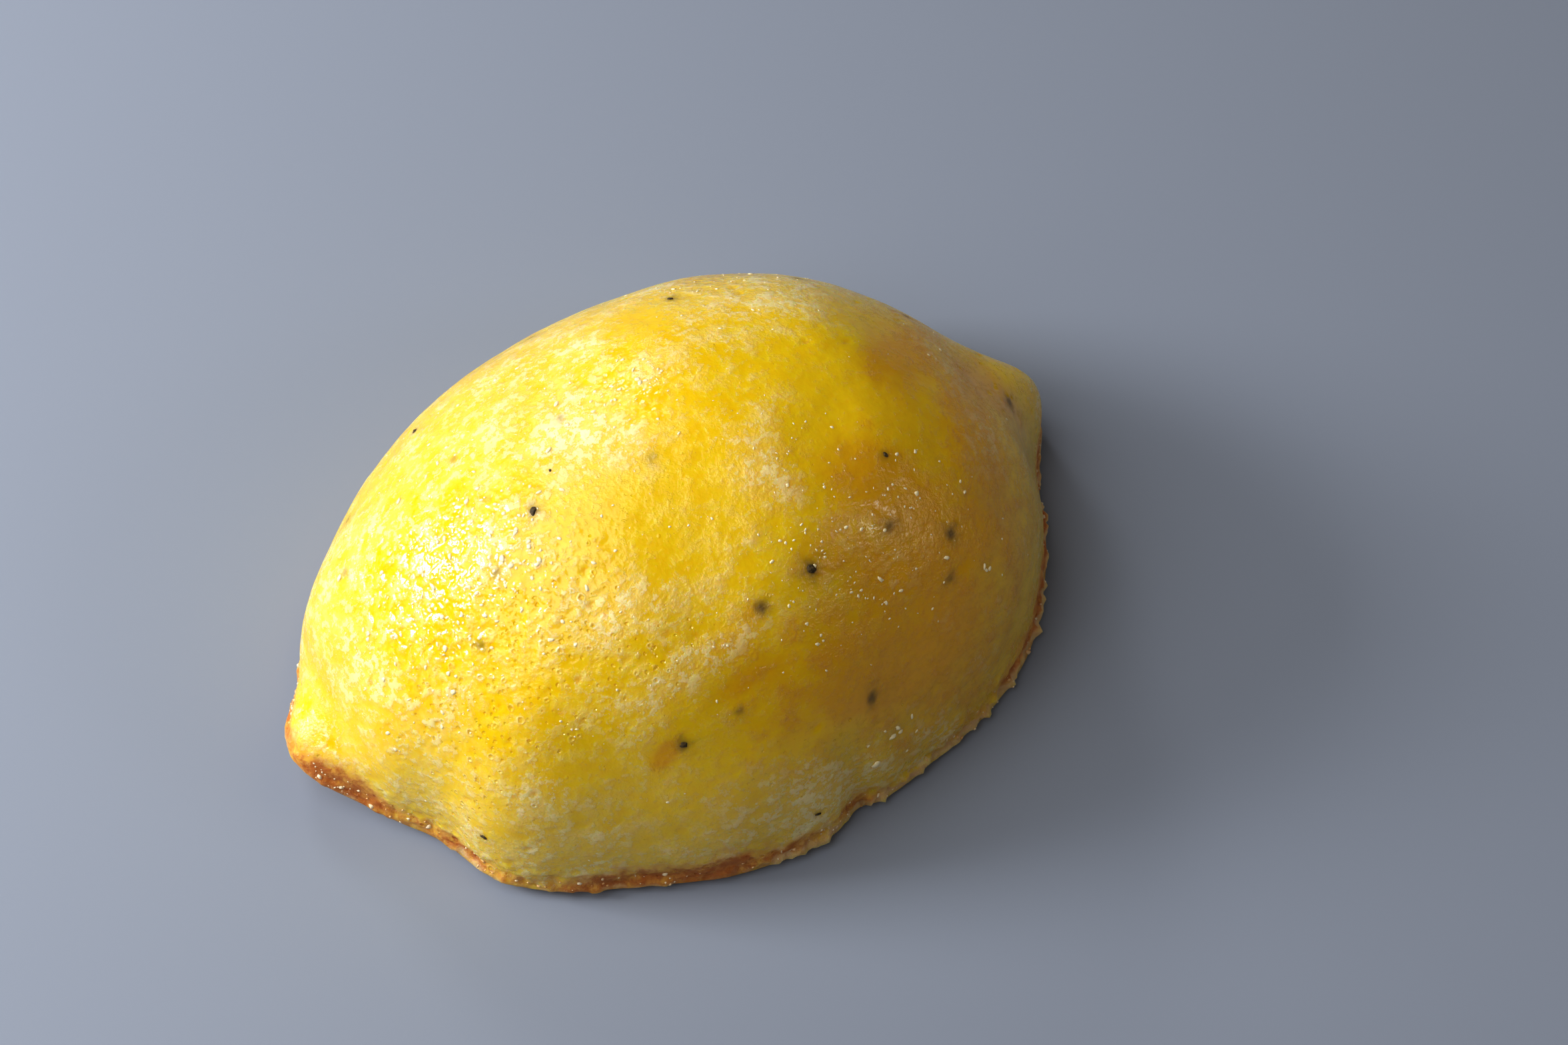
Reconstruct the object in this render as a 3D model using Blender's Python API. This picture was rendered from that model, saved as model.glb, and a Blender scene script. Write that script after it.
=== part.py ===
"""Lemon cake: one baked piece in the shape of half a lemon, flat side down.

Metres, +Z up, +X along the lemon from tip to tip, -Y towards its front side.
The origin is on the surface the cake stands on, under the middle of its box.
"""
import math

import bmesh
import bpy
import numpy as np
from mathutils import Matrix, Vector, noise

# Belly: half width, height, reach to the left and to the right, and the roundness of its outlines
BELLY_HALF_WIDTH = 0.0289
BELLY_HEIGHT = 0.0316
BELLY_REACH = (0.0363, 0.0369)
BELLY_POWER = 2.1
RIGHT_HEAVY = 0.05

# Blunt tips, left and right: middle, half sizes, and how softly each runs into the belly
TIPS = (
    ((-0.0321, 0.0016, 0.0002), (0.0079, 0.0060, 0.0051), 0.0045),
    ((0.0340, 0.0011, 0.0030), (0.0071, 0.0037, 0.0081), 0.0070),
)

# Underside: a flat patch to stand on, then the crust curls up towards the rim, most under the left tip
FLAT_SHARE = 0.60
SIDE_CURL = 0.0006
BACK_CURL = 0.0008
TIP_CURL = (0.0033, 0.0005)

# Crust rim: a lip that stands out round the base, with a small rounded edge
LIP_OUT = 0.0004
LIP_HEIGHT = 0.0024
EDGE_RADIUS = 0.0007
RAGGED_SIZE = 0.0030
RAGGED_OUT = 0.0003

# Soft swellings (+) and hollows (-) of the dome and the rim: x, y, radius, height
UNEVEN = (
    (-0.0040, -0.0120, 0.0060, -0.0005),
    (0.0040, 0.0040, 0.0090, 0.0003),
    (-0.0060, 0.0120, 0.0050, -0.0004),
    (0.0190, -0.0100, 0.0070, 0.0005),
    (0.0240, 0.0040, 0.0060, -0.0005),
    (-0.0230, 0.0060, 0.0080, 0.0004),
    (-0.0200, -0.0130, 0.0060, 0.0003),
    (0.0100, -0.0200, 0.0050, -0.0004),
    (-0.0330, 0.0090, 0.0060, 0.0012),
    (-0.0320, -0.0125, 0.0050, -0.0019),
    (-0.0375, 0.0075, 0.0035, -0.0004),
    (-0.0180, -0.0240, 0.0070, -0.0009),
    (-0.0030, -0.0280, 0.0080, 0.0002),
    (0.0043, -0.0286, 0.0018, -0.0011),
    (0.0110, -0.0270, 0.0070, -0.0003),
    (0.0250, -0.0200, 0.0070, 0.0008),
    (0.0330, -0.0100, 0.0060, 0.0005),
    (0.0300, 0.0120, 0.0070, -0.0002),
    (-0.0180, 0.0220, 0.0090, -0.0004),
    (0.0020, 0.0280, 0.0090, -0.0002),
)
WAVE_SIZE = 0.011
WAVE_HEIGHT = 0.0003

# Mesh: slices from tip to tip, and segments over the dome, round the edges and under the base
SLICES = 76
DOME_SEGMENTS = 40
EDGE_SEGMENTS = 2
BASE_SEGMENTS = 14
RIM_SEGMENTS = DOME_SEGMENTS + BASE_SEGMENTS + 2 * EDGE_SEGMENTS
OUTLINE_SAMPLES = 4000
HALVINGS = 22

CRUMB_COLOUR = (0.83, 0.60, 0.11, 1.0)
CRUMB_ROUGHNESS = 0.45


def clear_scene():
    for item in list(bpy.data.objects):
        bpy.data.objects.remove(item, do_unlink=True)


def ball_distance(x, y, height, middle, half_sizes, power):
    """About how far places are outside a rounded ball; below zero inside it."""
    offsets = zip((x, y, height), middle, half_sizes)
    shares = [np.abs(value - centre) / size for value, centre, size in offsets]
    whole = np.maximum(1e-9, sum(share ** power for share in shares)) ** (1.0 / power)
    slopes = [(share / whole) ** (power - 1.0) / size for share, size in zip(shares, half_sizes)]
    return (whole - 1.0) / np.sqrt(sum(slope * slope for slope in slopes))


def soft_min(first, second, blend):
    near = np.maximum(0.0, blend - np.abs(first - second))
    return np.minimum(first, second) - near * near / (4.0 * blend)


def at_end(x, values):
    return np.where(x < 0.0, values[0], values[1])


def outside(x, y, height):
    """About how far places are outside the cake; the height is counted from the edge of the crust."""
    reach = at_end(x, BELLY_REACH)
    belly = (reach, BELLY_HALF_WIDTH, BELLY_HEIGHT * (1.0 + RIGHT_HEAVY * x / reach))
    distance = ball_distance(x, y, height, (0.0, 0.0, 0.0), belly, BELLY_POWER)
    for middle, half_sizes, blend in TIPS:
        distance = soft_min(distance, ball_distance(x, y, height, middle, half_sizes, 2.0), blend)
    for middle_x, middle_y, radius, swelling in UNEVEN:
        away = (x - middle_x) ** 2 + (y - middle_y) ** 2
        distance = distance - swelling * np.exp(-away / radius ** 2)
    return distance


def way_out(line, near, far):
    """How far along a line the cake's surface is, found by halving."""
    for _ in range(HALVINGS):
        middle = 0.5 * (near + far)
        out = line(middle) > 0.0
        near, far = np.where(out, near, middle), np.where(out, middle, far)
    return 0.5 * (near + far)


def tip_reach(tip, side):
    (_, drift, _), _, _ = tip
    return float(way_out(lambda away: outside(side * away, drift, 0.0), np.array(0.030), np.array(0.050)))


REACH = (tip_reach(TIPS[0], -1.0), tip_reach(TIPS[1], 1.0))
DRIFT = (TIPS[0][0][1], TIPS[1][0][1])


def curl(x, y):
    """Height of the underside above the floor: flat in the middle, curling up at the rim."""
    along = x / at_end(x, REACH)
    across = y / BELLY_HALF_WIDTH
    rise = np.maximum(0.0, (np.hypot(along, across) - FLAT_SHARE) / (1.0 - FLAT_SHARE)) ** 2
    lift = SIDE_CURL + at_end(x, TIP_CURL) * along ** 4 + BACK_CURL * np.maximum(0.0, across)
    return lift * np.minimum(rise, 1.2)


def slice_size(x):
    """Spine of the slices at x, their half widths in front of it and behind it, and their height."""
    spine = at_end(x, DRIFT) * (x / at_end(x, REACH)) ** 2
    none = np.zeros_like(x)
    front = way_out(lambda away: outside(x, spine - away, none), none, none + 0.04)
    back = way_out(lambda away: outside(x, spine + away, none), none, none + 0.04)
    height = way_out(lambda rise: outside(x, spine, rise), none, none + 0.04)
    return spine, front, back, height


def slice_places():
    """X of every slice, evenly spaced along the plan outline so that the tips get their share."""
    x = np.linspace(-REACH[0], REACH[1], OUTLINE_SAMPLES)
    _, front, back, height = slice_size(x)
    steps = np.hypot(np.diff(x), 0.5 * np.diff(front + back) + 0.5 * np.diff(height))
    travelled = np.concatenate(([0.0], np.cumsum(steps)))
    return np.interp(np.linspace(0.0, travelled[-1], SLICES + 1), travelled, x)


def section_points(x):
    """Every slice's ring: over the dome from back to front, round the edge, and back under the base."""
    spine, front, back, height = slice_size(x)
    front[0] = front[-1] = back[0] = back[-1] = height[0] = height[-1] = 0.0
    edge = np.minimum(EDGE_RADIUS, np.minimum(0.4 * np.minimum(front, back), 0.3 * height))
    share = np.maximum(0.0, 1.0 - (at_end(x, REACH) - np.abs(x)) / EDGE_RADIUS)
    end_rise = EDGE_RADIUS * (1.0 - np.sqrt(1.0 - np.minimum(1.0, share) ** 2))
    angle = math.pi * np.arange(DOME_SEGMENTS + 1) / DOME_SEGMENTS
    along = np.repeat(x[:, None], DOME_SEGMENTS + 1, axis=1)
    across = np.where(np.cos(angle) > 0.0, back[:, None], front[:, None]) * np.cos(angle)
    upward = height[:, None] * np.maximum(0.0, np.sin(angle))

    def ray(scale):
        return outside(along, spine[:, None] + scale * across, scale * upward)

    scale = way_out(ray, np.full(along.shape, 0.4), np.full(along.shape, 2.0))
    y = spine[:, None] + scale * across
    z = curl(along, y) + (edge + end_rise)[:, None] + scale * upward
    dome = np.stack((along, y, z), axis=-1)
    front_edge, back_edge = y[:, -1] + edge, y[:, 0] - edge
    ring = []
    for under in range(1, RIM_SEGMENTS - DOME_SEGMENTS):
        if under < EDGE_SEGMENTS:
            angle = 0.5 * math.pi * under / EDGE_SEGMENTS
            side = front_edge - edge * math.cos(angle)
        elif under > EDGE_SEGMENTS + BASE_SEGMENTS:
            angle = 0.5 * math.pi * (RIM_SEGMENTS - DOME_SEGMENTS - under) / EDGE_SEGMENTS
            side = back_edge + edge * math.cos(angle)
        else:
            angle = 0.5 * math.pi
            side = front_edge + (back_edge - front_edge) * (under - EDGE_SEGMENTS) / BASE_SEGMENTS
        ring.append(np.stack((x, side, curl(x, side) + end_rise + edge * (1.0 - math.sin(angle))), axis=-1))
    return np.concatenate((dome, np.stack(ring, axis=1)), axis=1)


def lay_out_form(bm):
    """Take each vertex of the unit ball, poles on X, to its place on the half lemon."""
    rings = section_points(slice_places())
    for vert in bm.verts:
        along = 1.0 - math.acos(max(-1.0, min(1.0, vert.co.x))) / math.pi
        around = math.atan2(vert.co.z, vert.co.y) % (2.0 * math.pi) / (2.0 * math.pi)
        vert.co = rings[round(along * SLICES), round(around * RIM_SEGMENTS) % RIM_SEGMENTS]


def shape_surface(bm):
    """Make the dome a little wavy and push the crust lip out, leaving the underside alone."""
    bm.normal_update()
    moves = []
    for vert in bm.verts:
        above = max(0.0, vert.co.z - float(curl(vert.co.x, vert.co.y)))
        fade = min(1.0, above / LIP_HEIGHT)
        lip = 1.0 - fade * fade * (3.0 - 2.0 * fade)
        wave = WAVE_HEIGHT * noise.noise(vert.co / WAVE_SIZE)
        out = (LIP_OUT + RAGGED_OUT * noise.noise(vert.co / RAGGED_SIZE)) * lip + wave
        moves.append(Vector((vert.normal.x * out, vert.normal.y * out, vert.normal.z * wave * fade)))
    for vert, move in zip(bm.verts, moves):
        vert.co += move


def centre_plan(bm):
    """Put the middle of the box in plan over the origin."""
    places = np.array([vert.co for vert in bm.verts])
    middle = 0.5 * (places.min(axis=0) + places.max(axis=0))
    bmesh.ops.translate(bm, verts=bm.verts, vec=(-middle[0], -middle[1], 0.0))


def cake_material():
    material = bpy.data.materials.new("lemon_sponge")
    material.use_nodes = True
    shader = material.node_tree.nodes["Principled BSDF"]
    shader.inputs["Base Color"].default_value = CRUMB_COLOUR
    shader.inputs["Roughness"].default_value = CRUMB_ROUGHNESS
    shader.inputs["Metallic"].default_value = 0.0
    return material


def build_cake(collection):
    bm = bmesh.new()
    poles_on_x = Matrix.Rotation(0.5 * math.pi, 4, "Y")
    bmesh.ops.create_uvsphere(bm, u_segments=RIM_SEGMENTS, v_segments=SLICES, radius=1.0, matrix=poles_on_x)
    lay_out_form(bm)
    bmesh.ops.recalc_face_normals(bm, faces=bm.faces)
    shape_surface(bm)
    centre_plan(bm)
    mesh = bpy.data.meshes.new("cake")
    bm.to_mesh(mesh)
    bm.free()
    mesh.shade_smooth()
    mesh.materials.append(cake_material())
    cake = bpy.data.objects.new("cake", mesh)
    collection.objects.link(cake)
    return cake


def main():
    clear_scene()
    collection = bpy.data.collections.new("lemon_cake")
    bpy.context.scene.collection.children.link(collection)
    build_cake(collection)


main()
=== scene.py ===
"""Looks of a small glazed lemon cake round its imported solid. Metres, +Z up, +X from tip to tip."""

import math
import random

import bmesh
import bpy
import numpy as np
from mathutils import Matrix, Vector, kdtree, noise
from mathutils.bvhtree import BVHTree


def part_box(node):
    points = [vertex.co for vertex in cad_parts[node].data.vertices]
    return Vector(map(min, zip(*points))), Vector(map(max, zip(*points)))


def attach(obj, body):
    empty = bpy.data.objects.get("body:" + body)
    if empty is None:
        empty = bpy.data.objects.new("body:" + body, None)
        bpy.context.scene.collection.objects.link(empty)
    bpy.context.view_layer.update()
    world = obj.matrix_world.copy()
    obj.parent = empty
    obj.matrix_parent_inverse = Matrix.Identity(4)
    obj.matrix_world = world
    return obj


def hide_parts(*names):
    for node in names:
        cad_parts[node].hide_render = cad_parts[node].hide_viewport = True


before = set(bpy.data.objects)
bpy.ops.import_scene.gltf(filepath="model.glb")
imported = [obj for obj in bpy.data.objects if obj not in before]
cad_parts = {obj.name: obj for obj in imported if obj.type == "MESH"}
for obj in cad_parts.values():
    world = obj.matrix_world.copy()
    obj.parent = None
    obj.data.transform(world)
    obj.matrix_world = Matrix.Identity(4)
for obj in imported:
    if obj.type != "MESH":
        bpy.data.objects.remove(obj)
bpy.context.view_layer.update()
cake_low, cake_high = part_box("cake")
MM = 0.001


# ---------------------------------------------------------------- form of the baked cake

# Belly: half width, height, reach to the left and to the right, and the roundness of its outlines
BELLY_HALF_WIDTH = 0.0289
BELLY_HEIGHT = 0.0316
BELLY_REACH = (0.0363, 0.0369)
BELLY_POWER = 2.1
RIGHT_HEAVY = 0.05

# Blunt tips, left and right: middle, half sizes, and how softly each runs into the belly
TIPS = (
    ((-0.0321, 0.0016, 0.0002), (0.0079, 0.0060, 0.0051), 0.0045),
    ((0.0340, 0.0011, 0.0030), (0.0071, 0.0037, 0.0081), 0.0070),
)

# Underside: a flat patch to stand on, then the crust curls up towards the rim, most under the left tip
FLAT_SHARE = 0.60
SIDE_CURL = 0.0006
BACK_CURL = 0.0008
TIP_CURL = (0.0033, 0.0005)

# Crust rim: a lip that stands out round the base, with a small rounded edge
LIP_OUT = 0.0004
LIP_HEIGHT = 0.0024
EDGE_RADIUS = 0.0007

# Soft swellings (+) and hollows (-) of the dome and the rim: x, y, radius, height
UNEVEN = (
    (-0.0040, -0.0120, 0.0060, -0.0005),
    (0.0040, 0.0040, 0.0090, 0.0003),
    (-0.0060, 0.0120, 0.0050, -0.0004),
    (0.0190, -0.0100, 0.0070, 0.0005),
    (0.0240, 0.0040, 0.0060, -0.0005),
    (-0.0230, 0.0060, 0.0080, 0.0004),
    (-0.0200, -0.0130, 0.0060, 0.0003),
    (0.0100, -0.0200, 0.0050, -0.0004),
    (-0.0330, 0.0090, 0.0060, 0.0012),
    (-0.0320, -0.0125, 0.0050, -0.0019),
    (-0.0375, 0.0075, 0.0035, -0.0004),
    (-0.0180, -0.0240, 0.0070, -0.0009),
    (-0.0030, -0.0280, 0.0080, 0.0002),
    (0.0043, -0.0286, 0.0018, -0.0011),
    (0.0110, -0.0270, 0.0070, -0.0003),
    (0.0250, -0.0200, 0.0070, 0.0008),
    (0.0330, -0.0100, 0.0060, 0.0005),
    (0.0300, 0.0120, 0.0070, -0.0002),
    (-0.0180, 0.0220, 0.0090, -0.0004),
    (0.0020, 0.0280, 0.0090, -0.0002),
)
WAVE_SIZE = 0.011
WAVE_HEIGHT = 0.0003

# Fine mesh: slices from tip to tip, and segments over the dome, round the edges and under the base
SLICES = 304
DOME_SEGMENTS = 284
EDGE_SEGMENTS = 5
BASE_SEGMENTS = 26
RIM_SEGMENTS = DOME_SEGMENTS + BASE_SEGMENTS + 2 * EDGE_SEGMENTS
OUTLINE_SAMPLES = 4000
# Search for the surface: number of halvings, where a tip's end is looked for, and the farthest surface
HALVINGS = 22
TIP_NEAR, TIP_FAR = 0.030, 0.050
FARTHEST = 0.04


def ball_distance(x, y, height, middle, half_sizes, power):
    """About how far places are outside a rounded ball; below zero inside it."""
    offsets = zip((x, y, height), middle, half_sizes)
    shares = [np.abs(value - centre) / size for value, centre, size in offsets]
    whole = np.maximum(1e-9, sum(share ** power for share in shares)) ** (1.0 / power)
    slopes = [(share / whole) ** (power - 1.0) / size for share, size in zip(shares, half_sizes)]
    return (whole - 1.0) / np.sqrt(sum(slope * slope for slope in slopes))


def soft_min(first, second, blend):
    near = np.maximum(0.0, blend - np.abs(first - second))
    return np.minimum(first, second) - near * near / (4.0 * blend)


def at_end(x, values):
    return np.where(x < 0.0, values[0], values[1])


def outside(x, y, height):
    """About how far places are outside the cake; the height is counted from the edge of the crust."""
    reach = at_end(x, BELLY_REACH)
    belly = (reach, BELLY_HALF_WIDTH, BELLY_HEIGHT * (1.0 + RIGHT_HEAVY * x / reach))
    distance = ball_distance(x, y, height, (0.0, 0.0, 0.0), belly, BELLY_POWER)
    for middle, half_sizes, blend in TIPS:
        distance = soft_min(distance, ball_distance(x, y, height, middle, half_sizes, 2.0), blend)
    for middle_x, middle_y, radius, swelling in UNEVEN:
        away = (x - middle_x) ** 2 + (y - middle_y) ** 2
        distance = distance - swelling * np.exp(-away / radius ** 2)
    return distance


def way_out(line, near, far):
    """How far along a line the cake's surface is, found by halving."""
    for _ in range(HALVINGS):
        middle = 0.5 * (near + far)
        out = line(middle) > 0.0
        near, far = np.where(out, near, middle), np.where(out, middle, far)
    return 0.5 * (near + far)


def tip_reach(tip, side):
    (_, drift, _), _, _ = tip
    near, far = np.array(TIP_NEAR), np.array(TIP_FAR)
    return float(way_out(lambda away: outside(side * away, drift, 0.0), near, far))


REACH = (tip_reach(TIPS[0], -1.0), tip_reach(TIPS[1], 1.0))
DRIFT = (TIPS[0][0][1], TIPS[1][0][1])


def curl(x, y):
    """Height of the underside above the floor: flat in the middle, curling up at the rim."""
    along = x / at_end(x, REACH)
    across = y / BELLY_HALF_WIDTH
    rise = np.maximum(0.0, (np.hypot(along, across) - FLAT_SHARE) / (1.0 - FLAT_SHARE)) ** 2
    lift = SIDE_CURL + at_end(x, TIP_CURL) * along ** 4 + BACK_CURL * np.maximum(0.0, across)
    return lift * np.minimum(rise, 1.2)


def slice_size(x):
    """Spine of the slices at x, their half widths in front of it and behind it, and their height."""
    spine = at_end(x, DRIFT) * (x / at_end(x, REACH)) ** 2
    none = np.zeros_like(x)
    front = way_out(lambda away: outside(x, spine - away, none), none, none + FARTHEST)
    back = way_out(lambda away: outside(x, spine + away, none), none, none + FARTHEST)
    height = way_out(lambda rise: outside(x, spine, rise), none, none + FARTHEST)
    return spine, front, back, height


def slice_places():
    """X of every slice, evenly spaced along the plan outline so that the tips get their share."""
    x = np.linspace(-REACH[0], REACH[1], OUTLINE_SAMPLES)
    _, front, back, height = slice_size(x)
    steps = np.hypot(np.diff(x), 0.5 * np.diff(front + back) + 0.5 * np.diff(height))
    travelled = np.concatenate(([0.0], np.cumsum(steps)))
    return np.interp(np.linspace(0.0, travelled[-1], SLICES + 1), travelled, x)


def section_points(x):
    """Every slice's ring: over the dome from back to front, round the edge, and back under the base."""
    spine, front, back, height = slice_size(x)
    front[0] = front[-1] = back[0] = back[-1] = height[0] = height[-1] = 0.0
    edge = np.minimum(EDGE_RADIUS, np.minimum(0.4 * np.minimum(front, back), 0.3 * height))
    share = np.maximum(0.0, 1.0 - (at_end(x, REACH) - np.abs(x)) / EDGE_RADIUS)
    end_rise = EDGE_RADIUS * (1.0 - np.sqrt(1.0 - np.minimum(1.0, share) ** 2))
    angle = math.pi * np.arange(DOME_SEGMENTS + 1) / DOME_SEGMENTS
    along = np.repeat(x[:, None], DOME_SEGMENTS + 1, axis=1)
    across = np.where(np.cos(angle) > 0.0, back[:, None], front[:, None]) * np.cos(angle)
    upward = height[:, None] * np.maximum(0.0, np.sin(angle))

    def ray(scale):
        return outside(along, spine[:, None] + scale * across, scale * upward)

    scale = way_out(ray, np.full(along.shape, 0.4), np.full(along.shape, 2.0))
    y = spine[:, None] + scale * across
    z = curl(along, y) + (edge + end_rise)[:, None] + scale * upward
    dome = np.stack((along, y, z), axis=-1)
    front_edge, back_edge = y[:, -1] + edge, y[:, 0] - edge
    ring = []
    for under in range(1, RIM_SEGMENTS - DOME_SEGMENTS):
        if under < EDGE_SEGMENTS:
            angle = 0.5 * math.pi * under / EDGE_SEGMENTS
            side = front_edge - edge * math.cos(angle)
        elif under > EDGE_SEGMENTS + BASE_SEGMENTS:
            angle = 0.5 * math.pi * (RIM_SEGMENTS - DOME_SEGMENTS - under) / EDGE_SEGMENTS
            side = back_edge + edge * math.cos(angle)
        else:
            angle = 0.5 * math.pi
            side = front_edge + (back_edge - front_edge) * (under - EDGE_SEGMENTS) / BASE_SEGMENTS
        rise = curl(x, side) + end_rise + edge * (1.0 - math.sin(angle))
        ring.append(np.stack((x, side, rise), axis=-1))
    return np.concatenate((dome, np.stack(ring, axis=1)), axis=1)


def noise_at(places, size):
    """Soft noise from -1 to 1 whose lumps have the given size."""
    return np.array([noise.noise(place) for place in (places / size).tolist()])


def smooth_step(low, high, value):
    share = np.clip((value - low) / (high - low), 0.0, 1.0)
    return share * share * (3.0 - 2.0 * share)


def read_bmesh(bm):
    places = np.array([vert.co for vert in bm.verts])
    normals = np.array([vert.normal for vert in bm.verts])
    return places, normals


def move_bmesh(bm, places):
    for vert, place in zip(bm.verts, places.tolist()):
        vert.co = place
    bm.normal_update()


def put_in_order(bm):
    """Faces and edges in the order of their corners, so that every run picks the same ones."""
    bm.verts.index_update()
    count = len(bm.verts)

    def corners(item):
        first, second, third = (sorted(vert.index for vert in item.verts) + [0])[:3]
        return float((first * count + second) * count + third)

    bm.faces.sort(key=corners)
    bm.edges.sort(key=corners)


def bake_form():
    """Fine closed mesh of the plain form: a ball with its poles on X, taken to the half lemon."""
    bm = bmesh.new()
    sizes = {"u_segments": RIM_SEGMENTS, "v_segments": SLICES, "radius": 1.0}
    poles_on_x = Matrix.Rotation(0.5 * math.pi, 4, "Y")
    bmesh.ops.create_uvsphere(bm, matrix=poles_on_x, **sizes)
    ball = np.array([vert.co for vert in bm.verts])
    along = 1.0 - np.arccos(np.clip(ball[:, 0], -1.0, 1.0)) / math.pi
    around = np.arctan2(ball[:, 2], ball[:, 1]) / (2.0 * math.pi) % 1.0
    rings = section_points(slice_places())
    slices = np.rint(along * SLICES).astype(int)
    segments = np.rint(around * RIM_SEGMENTS).astype(int) % RIM_SEGMENTS
    move_bmesh(bm, rings[slices, segments])
    bmesh.ops.recalc_face_normals(bm, faces=bm.faces)
    put_in_order(bm)
    bm.normal_update()
    return bm


def swell(bm):
    """Baked unevenness of the dome and the lip of its rim; returns the height above the underside."""
    places, normals = read_bmesh(bm)
    above = np.maximum(0.0, places[:, 2] - curl(places[:, 0], places[:, 1]))
    fade = np.clip(above / LIP_HEIGHT, 0.0, 1.0)
    lip = 1.0 - smooth_step(0.0, LIP_HEIGHT, above)
    out = WAVE_HEIGHT * noise_at(places, WAVE_SIZE)
    push = (out + LIP_OUT * lip)[:, None] * normals[:, :2]
    lift = (out * fade)[:, None] * normals[:, 2:]
    places += np.concatenate((push, lift), axis=1)
    places[:, :2] -= 0.5 * (places.min(axis=0) + places.max(axis=0))[:2]
    places[:, :2] += 0.5 * (np.array(cake_low) + np.array(cake_high))[:2]
    move_bmesh(bm, places)
    return above


# ---------------------------------------------------------------- what the oven and the glaze did, and some painted shade

# Every row of the next tables is a soft patch, in mm: x, y, half length, half width, strength

# Cloudy veil (+) and golden soaked patches (-) of the glaze
VEIL = (
    (5.5, -8.0, 2.6, 2.6, 1.1), (6.0, -4.5, 2.0, 2.0, 0.5), (2.0, -11.0, 2.0, 2.0, 0.5),
    (-8.0, -18.0, 3.6, 1.3, 1.1), (-3.0, -17.7, 2.6, 1.1, 0.8), (-14.0, -11.0, 3.0, 3.0, 0.6),
    (-9.5, -11.5, 2.0, 1.5, 0.5), (-8.0, 5.0, 4.5, 5.0, 0.9), (-5.0, 1.0, 2.5, 2.0, 0.5),
    (29.0, -1.0, 2.4, 8.0, 0.9), (27.0, -8.0, 3.0, 4.0, 0.6), (-22.0, -24.0, 4.0, 2.5, 0.8),
    (-24.5, -19.5, 2.5, 2.5, 0.6), (0.0, -28.0, 9.0, 1.6, 0.9), (13.0, -27.0, 5.0, 1.6, 0.7),
    (18.0, 12.0, 7.0, 5.0, 0.6), (-2.0, 15.0, 3.0, 2.5, 0.5), (-8.0, 17.0, 5.0, 3.0, 0.6),
    (-16.0, 10.0, 4.0, 4.0, 0.5), (-28.0, 10.0, 6.0, 5.0, 0.4), (-17.0, 0.5, 3.0, 3.0, 0.6),
    (-33.0, 2.0, 4.0, 4.0, 0.5), (12.0, -16.0, 2.4, 1.6, 0.3), (17.0, -14.5, 1.6, 1.6, 0.2),
    (17.0, -22.0, 4.0, 2.0, 0.5), (-28.0, -8.0, 3.0, 3.0, 0.4), (8.0, 22.0, 8.0, 4.0, 0.4),
    (-7.0, -4.0, 3.6, 3.0, -1.1), (0.0, -3.0, 4.0, 3.4, -0.9), (4.0, 3.0, 5.0, 4.0, -0.7),
    (4.0, -13.0, 4.0, 2.4, -0.9), (12.0, -6.0, 5.0, 4.0, -1.1), (20.0, -3.0, 6.0, 6.0, -1.1),
    (22.0, 4.0, 4.0, 4.0, -0.9), (15.0, -12.0, 3.0, 2.6, -0.9), (-3.0, -20.6, 4.4, 1.1, -1.2),
    (-12.0, -21.5, 2.6, 1.2, -0.8), (-5.5, -9.0, 3.4, 2.6, -0.7), (-19.0, -13.0, 3.0, 2.4, -0.6),
    (-25.0, -12.0, 3.0, 2.4, -0.6), (-11.0, -15.0, 3.0, 1.8, -0.7), (-19.0, -19.5, 3.6, 2.0, -0.5),
    (5.0, -25.0, 6.0, 1.4, -0.8), (-8.0, -24.0, 4.0, 1.4, -0.5), (33.0, 1.0, 2.4, 3.0, -0.7),
    (5.0, 15.0, 3.0, 3.0, -0.6), (14.0, 3.0, 5.0, 4.0, -0.7), (-24.0, -6.0, 3.0, 2.4, -0.5),
    (-24.5, -22.0, 2.2, 1.1, -0.9), (23.0, -15.0, 3.0, 4.0, -0.3), (34.5, -2.0, 2.6, 4.0, -0.9),
)

# Toasted, more amber patches under the glaze; the broad ones over the right and front-right side are
# painted shade that darkens the side turned from the light
AMBER_AND_SHADE = (
    (16.0, -12.0, 2.4, 2.4, 0.7), (15.5, -8.5, 2.0, 2.0, 0.3), (20.0, 0.0, 4.0, 3.0, 0.5),
    (24.0, 2.5, 3.0, 3.0, 0.6), (-12.6, -21.7, 1.3, 0.6, 1.3), (-4.0, -20.7, 3.4, 0.8, 0.5),
    (6.0, -24.2, 3.0, 0.9, 0.7), (13.0, -23.5, 3.0, 1.2, 0.4), (34.0, -1.5, 2.2, 2.6, 0.5),
    (5.5, -15.2, 1.8, 1.4, 0.5), (-1.0, -16.6, 1.2, 0.8, 0.5), (14.0, 20.0, 5.0, 3.0, 0.5),
    (-9.0, 24.0, 5.0, 2.0, 0.4), (26.0, -14.0, 4.0, 6.0, 0.4), (13.0, -13.0, 9.0, 9.0, 0.6),
    (29.0, -3.0, 8.0, 10.0, 0.8), (12.0, -8.0, 9.0, 8.0, 0.2), (2.0, -22.0, 14.0, 6.0, 0.6),
    (20.0, -19.0, 8.0, 7.0, 0.6), (10.0, -24.0, 9.0, 3.0, 0.5), (30.0, 8.0, 6.0, 6.0, 0.3),
)

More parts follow.
